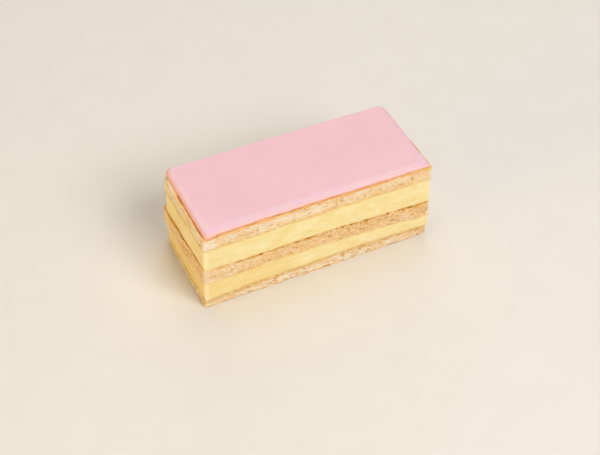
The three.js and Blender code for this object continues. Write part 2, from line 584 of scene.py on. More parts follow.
class Skin:
    """Rows of points round a layer, and the numbers that are stored on them by name."""

    def __init__(self, *names):
        self.rows = []
        self.stored = {name: [] for name in names}

    def add(self, points, values):
        """One more row; a value is one number for the whole row, or one per point."""
        self.rows.append(points)
        for key, value in zip(self.stored, values):
            self.stored[key].append(np.broadcast_to(value, points.shape[:1]))

    def face(self, rim, depths, height_at, values):
        """Rows from a rim to the middle line, at a height and with values given x and y."""
        for x, y in towards_middle(rim[:, 0], rim[:, 1], depths, INNER_ROWS):
            self.add(np.stack([x, y, height_at(x, y)], axis=-1), values(x, y))

    def turn_over(self):
        """The rows were added from the rim to the middle, and now run from there to the rim."""
        for rows in (self.rows, *self.stored.values()):
            rows.reverse()

    def close(self, name):
        """The closed piece. Points that coincide on the middle lines are merged."""
        grid = np.stack(self.rows)
        count, around = grid.shape[:2]
        index = np.arange(count * around).reshape(count, around)
        here, there = index[:-1], index[1:]
        quads = np.stack([here, np.roll(here, -1, 1), np.roll(there, -1, 1), there], axis=-1)
        piece = new_piece(name, grid.reshape(-1, 3), quads.reshape(-1, 4).tolist(), self.stored)
        work = bmesh.new()
        work.from_mesh(piece.data)
        work.verts.ensure_lookup_table()
        ends = [work.verts[i] for i in (*index[0], *index[-1])]
        bmesh.ops.remove_doubles(work, verts=ends, dist=MERGE_DISTANCE)
        work.to_mesh(piece.data)
        work.free()
        print(f"{name}: {len(piece.data.polygons)} faces")
        return piece


print("a skin closes onto its lines within", MERGE_DISTANCE, "m")

# %% [markdown]
# ## Wall of a layer
#
# The wall follows the outline from one seam up to the next. Its relief is a distance by which
# each point moves out, square to the outline.

# %% Wall before and after its relief


def smooth_wall(number, spacing, inset, rows, overlap=0.0):
    """
    The outline x and y of a layer, the heights z of its rows, evenly from its underside to its
    top, and these two as functions of x and y. overlap makes it reach into its neighbours.
    """

    def low(x, y):
        return levels[number](x, y) - overlap

    def high(x, y):
        return levels[number + 1](x, y) + overlap

    x, y = plan(LAYERS[number], *square_outline(spacing), inset)
    z = low(x, y) + (high(x, y) - low(x, y)) * np.linspace(0, 1, rows)[:, None]
    return x, y, z, low, high


def pushed_out(x, y, z, stand):
    """The points of a wall, each moved out by a distance."""
    out_x, out_y = outward(x, y)
    return np.stack([x + out_x * stand, y + out_y * stand, z], axis=-1)


thickness = np.ptp(smooth_wall(2, 1.0, 0.0, 3)[2], axis=0)
print(f"the middle sheet is {thickness.min():.1f} to {thickness.max():.1f} mm thick")

# %% [markdown]
# ## Pastry relief
#
# Puff pastry is hundreds of leaves of dough that the oven pushes apart. A knife breaks each leaf
# off at its own length, so a cut side shows thin ledges, dark gaps between them, long flat holes,
# and crumbs. The wall of a sheet is pushed in and out by that rule. The height in the sheet,
# warped by slow noise, says which leaf a point is on, each leaf has its own reach, a groove runs
# where two leaves meet, and holes open where a noise that is stretched along the leaves is high.

# %% Relief of broken leaves
LEAF = 0.8  # height of one bundle of leaves
LEAF_STRIDE = 7.31  # step in the noise from one leaf to the next, so that each is on its own
GROOVE_STRIDE = 3.7  # the same for the grooves between leaves
LEAF_REACH = 0.26
REACH_LENGTH = 2.4
GROOVE_DEPTH = 0.36
HOLE_DEPTH = 0.6
HOLE_LENGTH = 1.8
HOLE_HEIGHT = 0.7
CRUMB_HEIGHT = 0.17


def leaf_relief(x, y, z, seed, more_holes=0.0):
    """
    How far a cut side of pastry stands out, in millimetres, and how far into a gap it lies, from
    0 to 1, which sets the shade painted there. more_holes raises or lowers the share of open holes.
    """
    warp = 0.9 * patches(x, y, z, 10, 6, seed) + 0.4 * patches(x, y, z, 3, 2.5, seed + 1)
    leaves = (z + warp) / LEAF
    leaf = np.floor(leaves)
    part = leaves - leaf
    reach_here = waves(x, y, REACH_LENGTH, seed + 2, leaf * LEAF_STRIDE)
    reach_next = waves(x, y, REACH_LENGTH, seed + 2, (leaf + 1) * LEAF_STRIDE)
    reach = reach_here + (reach_next - reach_here) * ramp(part, 0.75, 1.0)
    openness = waves(x, y, 3.1, seed + 3, np.round(leaves) * GROOVE_STRIDE)
    groove = np.abs(2 * part - 1) ** 4 * (0.25 + 0.75 * ramp(openness, -0.1, 0.5))
    hole = patches(x, y, z + warp, HOLE_LENGTH, HOLE_HEIGHT, seed + 4)
    hole = hole + 0.45 * patches(x, y, z + warp, 0.9, 0.45, seed + 5) + more_holes
    hole = ramp(hole, 0.35, 0.85)
    crumb = rough(x, y, z * 1.3, 1.0, seed + 6)
    stand = LEAF_REACH * reach - GROOVE_DEPTH * groove - HOLE_DEPTH * hole + CRUMB_HEIGHT * crumb
    # How deep a point lies in a groove or hole; shade is painted there by it.
    pit_shade = 0.45 * groove + 0.6 * hole - 0.3 * crumb - 0.2 * reach
    return stand, np.clip(pit_shade, 0, 1)


stand, pit_shade = leaf_relief(*np.meshgrid(np.arange(0, 60, 0.3), 0.0, np.arange(0, 8, 0.2)), 1)
print(f"relief {stand.min():.2f} to {stand.max():.2f} mm, mean gap {pit_shade.mean():.2f}")

# %% [markdown]
# ## Places on the slice
#
# Much of the unevenness belongs to a place: the left end is paler at its back corner, the front
# corners are painted paler as a highlight, and the largest dark spots are told apart one by one.
# Such places are given here as numbers from 0 to 1, so that a recipe can multiply by them.

# %% Ends, corners and spots
FRONT = cad_low.y / MM
LEFT = cad_low.x / MM
RIGHT = cad_high.x / MM
CORNER_HIGHLIGHT_REACH = 3.6
SPOT_DEPTH = 4.0  # how far a spot on a cut side runs in


def front_corner_highlight(x, y):
    """1 along the two upright front corners, painted paler as a highlight, and 0 away from them."""
    to_left = ramp(x - LEFT, CORNER_HIGHLIGHT_REACH, 1.0)
    to_right = ramp(RIGHT - x, CORNER_HIGHLIGHT_REACH / 2, 0.6)
    return np.maximum(to_left, to_right) * ramp(y - FRONT, CORNER_HIGHLIGHT_REACH, 1.0)


def at_left_end(x):
    """1 close to the left end of the slice, and 0 further along."""
    return ramp(x - LEFT, 9.0, 4.5)


def towards_back(y):
    """0 along most of the left end, and 1 towards its back corner."""
    return ramp(y, 7.0, 12.0)


def marks(x, y, z, spots):
    """
    The strongest of several soft spots, each the bell exp(-d^2) of the distance from its centre
    counted in its half sizes. A spot is its x, y and z, its three half sizes, and its strength.
    """
    total = np.zeros(np.broadcast(x, y, z).shape)
    for spot_x, spot_y, spot_z, half_x, half_y, half_z, strength in spots:
        away = ((x - spot_x) / half_x) ** 2 + ((y - spot_y) / half_y) ** 2
        away = away + ((z - spot_z) / half_z) ** 2
        total = np.maximum(total, strength * np.exp(-away))
    return total


def front_spots(*spots):
    """Spots on the long front face, given by x, z, half length, half height and strength."""
    return [(x, FRONT, z, long, SPOT_DEPTH, high, strength) for x, z, long, high, strength in spots]


def rim_spots(depth, front, left=()):
    """
    Spots along a rim, for marks that are given the distance from that rim in place of z: those
    of the front by x, half length and strength, and those of the left end by y in place of x.
    """
    spots = front_spots(*((x, 0.0, half, depth, strength) for x, half, strength in front))
    return spots + [(LEFT, y, 0.0, SPOT_DEPTH, half, depth, strength) for y, half, strength in left]


print(f"front at y {FRONT:.2f} mm, ends at x {LEFT:.2f} and {RIGHT:.2f} mm")

# %% [markdown]
# ## Tops of the sheets
#
# Three numbers say how pastry is stained: one how brown a point is, which in places is painted
# shade, `moist` how far custard has soaked in, and `white` how floury and dry it stayed, which in
# places is painted light. Where custard covers a sheet its top is toasted in patches, and painted
# lighter towards the back corner of the left end. The top sheet carries the icing, and a dark line
# runs along the foot of it, partly syrup and partly painted contact shadow, which shows on the
# narrow ledge outside.

# %% Stains of the tops
SYRUP_AND_SHADOW_LINE = 0.34
SYRUP_AND_SHADOW_LINE_AT_LEFT = 0.62
SYRUP_AND_SHADOW_AWAY = 0.32
POOL_AT_LEFT = 0.7
POOL_AT_CORNER = 0.4


def golden_share(x, y):
    """How golden the top sheet is: it goes pale towards the back corner of the left end."""
    return 1 - 0.85 * towards_back(y) * at_left_end(x)


def icing_pool(x, y):
    """How much further out the icing has run at the left end, most towards its back corner."""
    back = towards_back(y) * ramp(y, 25.0, 20.0)
    return at_left_end(x) * (POOL_AT_LEFT + POOL_AT_CORNER * back)


def past_icing(x, y):
    """How far points lie outside the four side lines of the icing; negative inside."""
    lines = outlines["icing"]
    left, right = np.polyval(lines["left"], y) - x, x - np.polyval(lines["right"], y)
    front, back = np.polyval(lines["front"], x) - y, y - np.polyval(lines["back"], x)
    return np.max([left, right, front, back], axis=0)


def soaked_top(x, y):
    """Gap, toast, moist and white under custard, painted lighter towards the back left corner."""
    # The back corner of the left end is painted lighter, as light against the shade there.
    lit_back_corner = towards_back(y) * at_left_end(x)
    toast_and_shade = np.clip(0.2 + 0.2 * rough(x, y, 0.5, 2.5, 93, octaves=2), 0, 1)
    return 0.1, toast_and_shade * (1 - 0.8 * lit_back_corner), 0.5, 0.1 + 0.3 * lit_back_corner


def ledge_top(x, y):
    """The same for the top sheet: golden, darkest along the icing, in syrup and painted contact
    shadow.
    """
    left = at_left_end(x)
    away = past_icing(x, y) - icing_pool(x, y) - SYRUP_AND_SHADOW_AWAY - 0.16 * waves(x, y, 3, 92)
    # The line along the foot of the icing is partly syrup and partly painted contact shadow.
    line = np.exp(-((away / (SYRUP_AND_SHADOW_LINE + (SYRUP_AND_SHADOW_LINE_AT_LEFT - SYRUP_AND_SHADOW_LINE) * left)) ** 2))
    dashes = 0.3 + 0.7 * ramp(waves(x, y, 3.5, 90), -0.5, 0.4)
    # The line is painted fainter at the front corners, as a highlight.
    line = line * (dashes + (1.3 - dashes) * left) * (1 - 0.5 * front_corner_highlight(x, y))
    patch = 0.16 * rough(x, y, 0.5, 2.5, 91, octaves=2)
    toast_and_shade = (0.34 - 0.18 * left + patch + 0.6 * line) * golden_share(x, y)
    return 0.1, np.clip(toast_and_shade, 0, 1.2), 0.0, 0.3 + 0.15 * left


print("toast on the front ledge:", np.round(ledge_top(np.arange(-40.0, 50.0, 20.0), FRONT)[1], 2))

# %% [markdown]
# ## Pastry sheets
#
# The three sheets are built alike, and each has its own recipe for the stains of its wall.

# %% Build a pastry sheet
PASTRY_SPACING = 0.32
PASTRY_WALL_ROWS = 58
PASTRY_INSET = -0.1
RELIEF_MARGIN = 0.4  # the relief fades out this close to the top and the underside
LEDGE_ROWS = (0.25, 0.5, 0.8, 1.1, 1.4, 1.7, 2.0, 2.4, 3.0)
LEDGE_CRUMB = 0.10


def pastry_sheet(name, number, seed, stains, holes, undercut=0.0, broken=(), ledge=False):
    """
    A sheet of puff pastry between two levels. stains is given x, y and z, the height over the
    underside, the depth under the top, and a seed. holes adds to the share of open holes at the
    left and the right end, undercut is how far the lower rim draws back, broken lists spots
    where some of the wall has come off, and ledge says that the top carries the icing. Returns
    the piece and the points of its wall.
    """
    x, y, z, low, high = smooth_wall(number, PASTRY_SPACING, PASTRY_INSET, PASTRY_WALL_ROWS)
    over, under = z - z[0], z[-1] - z
    stand, pit_shade = leaf_relief(x, y, z, seed, np.interp(x, (LEFT, RIGHT), holes))
    fade = ramp(np.minimum(over, under), -0.1, RELIEF_MARGIN)
    toast_and_shade, moist, white = stains(x, y, z, over, under, seed + 20)
    corner = front_corner_highlight(x, y)
    ragged = np.clip(waves(x, y, 4.5, seed + 10) + 0.3, 0, 1.2)
    tuck = undercut * (1 - 0.8 * at_left_end(x)) * ragged * ramp(over, 1.3, 0.0)
    tuck = tuck + marks(x, y, z, broken)
    stand = stand * (0.3 + 0.7 * fade) - 0.1 * (1 - fade) - tuck - 0.1 * np.clip(toast_and_shade - 0.6, 0, 1)
    # More shade is painted where the rim draws back, and less at the front corners, where a
    # highlight is painted.
    pit_shade = np.clip(pit_shade + 0.7 * tuck - 0.35 * corner, 0, 1)
    wall = pushed_out(x, y, z, stand)

    def crumbly(x, y):
        return high(x, y) + LEDGE_CRUMB * rough(x, y, 0.5, 1.6, seed + 11)

    skin = Skin("pit_shade", "toast_and_shade", "moist", "white")
    skin.face(wall[0], RIM_ROWS, low, lambda x, y: (0.2, 0.1, 0.0, 0.3))
    skin.turn_over()
    # The front corners are painted whiter, as a highlight.
    for points, *values in zip(wall, pit_shade, toast_and_shade, moist, white + 0.4 * corner):
        skin.add(points, values)
    if ledge:
        skin.face(wall[-1], LEDGE_ROWS, crumbly, ledge_top)
    else:
        skin.face(wall[-1], RIM_ROWS, high, soaked_top)
    return skin.close(name), wall


print("a sheet's wall has", PASTRY_WALL_ROWS, "rows, with points", PASTRY_SPACING, "mm apart")

# %% [markdown]
# The lowest sheet is the palest. Custard has soaked its upper part to an olive gold, its lower
# part is white and flaky, and its rim is ragged, with shadow painted in the gaps over the table.
# Its left end is painted lighter. Its darkest places are given one by one, because they are large
# enough to be told apart.

# %% Stains of the lowest sheet
SOAK_DEPTH = 2.6
BOTTOM_GOLD = front_spots(
    (-28, 7, 1.8, 0.5, 0.6), (-23.5, 6, 1.2, 0.6, 0.7), (-12, 6.9, 3.4, 0.4, 0.6),
    (14, 5.2, 1.4, 1.6, 0.5), (26, 6.3, 1.5, 1.2, 0.5), (38, 6.2, 1.5, 0.5, 0.6),
    (46, 5.9, 1.6, 0.5, 0.6), (56.5, 5.5, 1.5, 0.5, 0.6),
)
# Dark spots at the foot of the wall are painted shadow in the gaps under the rim; they also carve
# it.
BOTTOM_GAP_SHADOWS = front_spots(
    (-52, 0.3, 0.8, 0.4, 0.5), (-24, 0.35, 1, 0.45, 0.8), (-12.2, 0.35, 0.8, 0.45, 0.8),
    (-2, 0.3, 0.7, 0.4, 0.6), (5, 0.7, 1.7, 0.6, 1), (14.2, 0.35, 0.9, 0.4, 0.7),
    (24.5, 0.4, 1.2, 0.4, 0.7), (30, 0.4, 1.2, 0.4, 0.5), (43, 0.4, 3, 0.45, 0.8),
    (55.5, 0.4, 2.5, 0.45, 0.8), (61.5, 0.6, 1.2, 0.6, 0.8),
)
BOTTOM_WHITE = front_spots(
    (-42, 2.2, 4, 1.2, 0.6), (-31, 1.8, 5.5, 1.2, 0.5), (-17, 2.8, 5, 1.7, 0.8),
    (-9.5, 2.1, 3, 1.2, 0.8), (-1, 2.8, 6, 1.7, 0.9), (16, 3, 4.5, 1.7, 1.1),
    (25.5, 2.4, 3.5, 1.4, 1.2), (36, 2.8, 6, 1.4, 0.9), (45, 2.2, 6, 1.1, 0.5),
)


def bottom_stains(x, y, z, over, under, seed):
    """Soaked near the custard, toasted in spots, floury below, with painted shadow in its rim gaps.
    """
    floury = marks(x, y, z, BOTTOM_WHITE)
    # The left end is painted lighter, as light: less soaked, whiter, and with less rim shadow.
    end = at_left_end(x) * ramp(y - FRONT, 1.0, 5.0)
    edge = SOAK_DEPTH + 0.8 * ramp(x, -22.0, -44.0) + 0.5 * ramp(x, 38.0, 48.0)
    edge = edge + 0.9 * waves(x, y, 7, seed)
    moist = ramp(under, edge, edge - 1.6)
    moist = moist * (0.7 + 0.3 * patches(x, y, z, 3, 1.2, seed + 1))
    moist = np.clip(moist - 0.5 * floury - 0.35 * end, 0, 1)
    line = ramp(under, 0.75, 0.1) * ramp(waves(x, y, 5, seed + 2), -0.4, 0.4)
    toast_and_shade = np.maximum(marks(x, y, z, BOTTOM_GOLD), 0.35 * line)
    scorch = ramp(patches(x, y, z, 3.5, 0.9, seed + 3), 0.35, 0.8)
    toast_and_shade = np.maximum(toast_and_shade, 0.25 * scorch)
    white = 0.36 + 0.5 * patches(x, y, z, 6, 2, seed + 4) + 0.8 * floury + 0.3 * end
    white = white + 0.7 * patches(x, y, z, 2.4, 1.2, seed + 6)
    white = white - 0.3 * ramp(x, 42.0, 50.0) * ramp(y, 0.0, FRONT)
    # Shadow is painted along the lowest half millimetre where the rim is broken.
    shaded_broken_rim = ramp(waves(x, y, 2.2, seed + 5), -0.1, 0.35)
    toast_and_shade = np.maximum(toast_and_shade, 0.6 * shaded_broken_rim * ramp(over, 0.5, 0.1) * (1 - 0.7 * end))
    return np.maximum(toast_and_shade, marks(x, y, z, BOTTOM_GAP_SHADOWS)), moist, white


print("spots on the lowest sheet:", len(BOTTOM_GOLD + BOTTOM_GAP_SHADOWS + BOTTOM_WHITE))

# %% [markdown]
# The middle sheet is the brownest. Its top skin shows as a thin broken line of gold, which turns
# dark brown in places, partly toast and partly shade painted in the seam. Lower down, a few pockets
# are toasted, and the left end has a darker patch.

# %% Stains of the middle sheet
MIDDLE_LINE_DEPTH = 1.15
# The dark spots along the line are partly toast and partly shade painted in the seam.
MIDDLE_LINE_TOAST_AND_SHADE = (
    (-43.7, 1.3, 0.85), (-32.5, 1.9, 1), (-24.5, 1.1, 0.65), (-19.5, 1, 0.6),
    (-6, 2.3, 1.25), (4, 1, 0.6), (13.5, 1.3, 0.9), (18.5, 1.2, 1.1), (26.6, 1.8, 1.5),
    (39, 1.3, 1.15), (45.8, 1.5, 0.8), (52, 2.4, 1.2), (56, 2.4, 0.95), (60.8, 1, 0.75),
)
LEFT_LINE_TOAST_AND_SHADE = ((9.5, 2.2, 0.75), (1.0, 3.0, 0.85), (-17.0, 2.4, 0.85))
MIDDLE_POCKETS = front_spots(
    (-39, 18.2, 2.4, 0.6, 0.45), (-28, 19, 1.4, 0.7, 0.75), (-15.5, 19, 2.2, 0.35, 0.6),
    (12.5, 17, 1, 0.8, 0.45), (26.8, 22.4, 1.4, 1, 0.6), (36.5, 20, 0.8, 0.6, 0.5),
    (55.5, 21.6, 4.2, 0.9, 0.45),
)
# A darker patch over the left end of the middle sheet.
LEFT_END_DARKER_PATCH = (LEFT, 0.0, 19.5, 3.0, 14.0, 4.0, 0.22)


def middle_stains(x, y, z, over, under, seed):
    """A broken golden line on top with dark spots in it, partly painted shade in the seam, and
    toasted pockets lower down.
    """
    skin = 0.75 + 0.4 * rough(x, y, 0.5, 4.0, seed, octaves=2)
    golden = 0.4 - 0.08 * ramp(x, 20.0, 35.0)
    golden = np.clip(golden + 0.4 * rough(x, y, 0.5, 3.0, seed + 1, octaves=2), 0.1, 1)
    line = ramp(under, skin + 0.35, skin - 0.1) * golden
    spots = rim_spots(MIDDLE_LINE_DEPTH, MIDDLE_LINE_TOAST_AND_SHADE, LEFT_LINE_TOAST_AND_SHADE)
    toast_and_shade = np.maximum(line, marks(x, y, under, spots))
    patch = ramp(patches(x, y, z, 6, 2.2, seed + 2), 0.1, 0.7)
    browning = ramp(x, -30.0, 45.0) * ramp(y, 0.0, FRONT)
    toast_and_shade = np.maximum(toast_and_shade, (0.15 + 0.12 * browning * ramp(over, 2.0, 5.0)) * patch)
    toast_and_shade = np.maximum(toast_and_shade, marks(x, y, z, MIDDLE_POCKETS + [LEFT_END_DARKER_PATCH]))
    moist = 0.7 * ramp(over, 1.3, 0.1)
    moist = moist * ramp(waves(x, y, 6, seed + 3, 3.5), -0.5, 0.4)
    level = over / (over + under)
    white = 0.22 + 0.45 * patches(x, y, z, 7, 2.6, seed + 4) + 0.36 * (0.45 - level)
    white = white + 0.3 * ramp(x, -15.0, -48.0) + 0.4 * ramp(x, 30.0, 50.0) * (1 - level)
    # The back of the left end is painted whiter, as light.
    return toast_and_shade, moist, white + 0.3 * at_left_end(x) * ramp(y, 0.0, 10.0)


print("spots on the middle sheet:", len(MIDDLE_LINE_TOAST_AND_SHADE + LEFT_LINE_TOAST_AND_SHADE) + len(MIDDLE_POCKETS) + 1)

# %% [markdown]
# The top sheet is pale, with a golden band where it carries the icing. The syrup has run down
# from the band in places, the underside is moist with custard, and the left end is painted
# whiter, as light.

# %% Stains of the top sheet
GOLD_BAND = 0.75
SYRUP_DEPTH = 0.7
SYRUP_DIPS = (
    (-50, 8, 0.35), (-28.5, 1.5, 0.6), (-15, 3, 0.75), (-6.5, 1.6, 0.5), (3, 3, 0.5),
    (9.5, 1.2, 0.5), (18, 2.4, 0.65), (34.5, 0.9, 0.6), (45.5, 1.3, 0.65), (50.8, 2.2, 0.8),
    (58.5, 1.6, 0.45),
)
TOP_POCKETS = front_spots(
    (-54, 41.6, 1.8, 0.35, 0.55), (-53, 40.2, 1.2, 0.7, 0.4), (-40.5, 39.6, 2, 0.5, 0.55),
    (-18, 40.9, 0.8, 0.4, 0.5), (15, 40.4, 2.8, 0.4, 0.45), (28.5, 46, 0.6, 1.3, 0.75),
    (32.2, 40.3, 2, 1.1, 0.9), (46.5, 39.9, 1.4, 0.6, 0.5), (54, 43, 0.35, 1.1, 0.6),
    (-43, 46, 7, 1.1, 0.3), (30, 45.6, 6, 1.1, 0.26), (48, 45.9, 6, 1.1, 0.28),
)
TOP_SOAKED = front_spots(
    (61, 45.8, 3.2, 1.3, 1), (-52, 40.6, 3, 0.8, 0.9), (-40, 39.9, 3, 0.8, 0.9),
    (-21, 40, 3.5, 0.9, 0.8), (6, 40.1, 2, 0.9, 0.8), (15, 40, 3.6, 1, 0.9),
    (33, 40.2, 3, 1.2, 0.9), (50, 39.9, 3, 0.9, 0.7),
)
TOP_WHITE = front_spots(
    (-57, 44, 5, 1.6, 0.4), (-19, 44.2, 8, 1.6, 0.45), (15, 44, 5, 1.6, 0.6)
)
BROKEN_CORNER = (LEFT, -FRONT, 47.0, 6.0, 7.0, 2.2, 1.5)


def top_stains(x, y, z, over, under, seed):
    """A golden band under the icing that thins and thickens, and a moist underside."""
    band = GOLD_BAND + 0.7 * rough(x, y, 0.5, 4.0, seed, octaves=2)
    toast_and_shade = 0.5 * ramp(under, band + 0.4, band - 0.5) * golden_share(x, y)
    toast_and_shade = toast_and_shade * (1 - 0.4 * at_left_end(x))
    toast_and_shade = np.maximum(toast_and_shade, marks(x, y, under, rim_spots(SYRUP_DEPTH, SYRUP_DIPS)))
    toast_and_shade = np.maximum(toast_and_shade, marks(x, y, z, TOP_POCKETS))
    patch = ramp(patches(x, y, z, 5, 1.6, seed + 2), 0.3, 0.8)
    toast_and_shade = np.maximum(toast_and_shade, 0.18 * patch)
    edge = 1.1 + 0.6 * waves(x, y, 6, seed + 3, 3.5)
    soaked = marks(x, y, z, TOP_SOAKED)
    moist = ramp(over, edge + 0.6, edge - 0.4)
    moist = np.maximum(moist * (0.75 + 0.25 * patches(x, y, z, 3, 1, seed + 4)), soaked)
    # The left end is painted whiter, as light.
    white = 0.5 + 0.75 * patches(x, y, z, 8, 2.4, seed + 5) + 0.45 * at_left_end(x)
    return toast_and_shade * (1 - 0.7 * soaked), moist, white + marks(x, y, z, TOP_WHITE)


print("spots on the top sheet:", len(SYRUP_DIPS) + len(TOP_POCKETS + TOP_SOAKED + TOP_WHITE))

# %% [markdown]
# ## Pastry finish
#
# One recipe serves all three sheets, with other colours. Pale leaf edges turn tan in the hollows
# and dark in the gaps and fine cracks, which is painted shade, blushes of peach and floury white
# lie over them, flecks finer than the mesh break the colour up, soaked parts turn olive gold, and
# toast runs from gold to dark brown, which in places is painted shade.

# %% Mix the pastry finishes
# In each palette, gap is the colour of the shade painted in gaps and fine cracks.
PASTRY_TINTS = {
    "pale_pastry": {
        "milky": (244, 231, 206), "pale": (248, 225, 186), "tan": (231, 193, 141),
        "peach": (247, 210, 160), "gap": (158, 116, 66), "soaked": (224, 185, 110),
        "gold": (214, 162, 70), "scorched_and_shade": (120, 74, 30),
    },
    "brown_pastry": {
        "milky": (246, 222, 188), "pale": (249, 218, 168), "tan": (225, 179, 117),
        "peach": (248, 202, 137), "gap": (164, 114, 52), "soaked": (236, 197, 120),
        "gold": (220, 158, 58), "scorched_and_shade": (156, 98, 22),
    },
    "golden_pastry": {
        "milky": (244, 229, 205), "pale": (248, 222, 182), "tan": (230, 193, 137),
        "peach": (247, 206, 152), "gap": (188, 150, 94), "soaked": (232, 194, 116),
        "gold": (241, 187, 118), "scorched_and_shade": (194, 121, 48),
    },
}
# Fine cracks are painted dark, as shade in them.
CRACKLE = {"pale_pastry": 0.17, "brown_pastry": 0.38}  # how strongly fine cracks show
CRUMB_BUMP = 0.0003
PASTRY_ROUGHNESS = 0.75


def baked_pastry(name, tints):
    """Colours follow the stored painted pit shade, browning, moist and white; the finest crumb is
    a bump.
    """
    finish = Finish(name)
    pit_shade = finish.stored("pit_shade")
    fleck = finish.grain(1.0, 0.7, detail=3.0, roughness=0.6) - 0.5
    lump = finish.grain(3.0, 1.6) - 0.5
    patch = finish.grain(9.0, 4.0) - 0.5
    shade = pit_shade * 0.8 + fleck * 1.7 + lump + patch * 1.3 + 0.36
    flour_and_light = finish.stored("white") + lump * 1.2 + fleck * 0.9 - pit_shade * 0.5
    moist = finish.stored("moist") + fleck * 0.3 + lump * 0.5
    # Browning from the stored number, which in places is painted shade.
    brown = finish.stored("toast_and_shade") + fleck * 0.4
    crack = 0.0
    if name in CRACKLE:
        along = finish.node("ShaderNodeSeparateXYZ", None, {0: finish.place})
        more_to_right = along.fade(-0.03, 0.04) * CRACKLE[name] + CRACKLE[name]
        crack = finish.grain(0.9, 0.6, roughness=0.7).fade(0.55, 0.64) * more_to_right
    colour = finish.layered(
        tints["pale"],
        (shade.clamp(), tints["tan"]),
        (finish.grain(4.8, 2.0).fade(0.5, 0.72) * 0.6, tints["peach"]),
        # floury white, which at the left end and the front corners is painted light
        (flour_and_light.fade(0.3, 0.95), tints["milky"]),
        # painted shade in the gaps
        ((pit_shade + fleck * 1.2).fade(0.55, 1.0), tints["gap"]),
        (moist.clamp(), tints["soaked"]),
        # painted shade in fine cracks
        (crack, tints["gap"]),
        (brown.fade(0.08, 0.55), tints["gold"]),
        # the darkest brown, which also paints shadow in gaps and at the foot of the icing
        (brown.fade(0.5, 1.0), tints["scorched_and_shade"]),
    )
    normal = finish.bump(finish.grain(0.5, 0.3, detail=3.0, roughness=0.6), CRUMB_BUMP)
    return finish.surface(base_color=colour, roughness=PASTRY_ROUGHNESS, normal=normal)


pastry = {name: baked_pastry(name, values) for name, values in PASTRY_TINTS.items()}
print("nodes in each pastry finish:", [len(finish.node_tree.nodes) for finish in pastry.values()])

# %% [markdown]
# Now the sheets are made, each from its level, its seed, its stains and its share of holes. The
# lowest has a rim that draws back over the table, and the top one has lost a corner at the back.

# %% Make the three sheets


def stand_in_for(piece, node, material):
    """The finished piece takes the place of a packed layer and rides on the slice."""
    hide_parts(node)
    ride(piece, material)


bottom_sheet, bottom_wall = pastry_sheet(
    "pale_bottom_sheet", 0, 201, bottom_stains, (0.1, 0.15), undercut=0.45, broken=BOTTOM_GAP_SHADOWS
)
stand_in_for(bottom_sheet, "bottom_pastry_sheet", pastry["pale_pastry"])
middle_sheet, middle_wall = pastry_sheet("brown_middle_sheet", 2, 231, middle_stains, (-0.05, 0.2))
stand_in_for(middle_sheet, "middle_pastry_sheet", pastry["brown_pastry"])
top_sheet, top_wall = pastry_sheet(
    "golden_top_sheet", 4, 261, top_stains, (-0.05, 0.05), broken=[BROKEN_CORNER], ledge=True
)
stand_in_for(top_sheet, "top_pastry_sheet", pastry["golden_pastry"])

# %% [markdown]
# ## Custard
#
# Set custard is smooth and dense. A knife leaves its side almost flat, with faint drag lines, a
# slight bulge where the weight above presses on it, and a burst bubble here and there.

# %% Custard layers
CUSTARD_OVERLAP = 0.25
CUSTARD_SPACING = 0.5
CUSTARD_WALL_ROWS = 48
CUSTARD_INSET = -0.08
CUSTARD_SWELL = 0.12
DRAG_DEPTH = 0.07
LUMP_DEPTH = 0.13
BUBBLE_DEPTH = 0.25
ROUNDED_RIM = 0.18
# How far from the left end the custard is painted deeper yellow, as shade.
LEFT_SHADE_REACH = 9.0
CUSTARD_SCORCH_AND_SHADE = 0.4


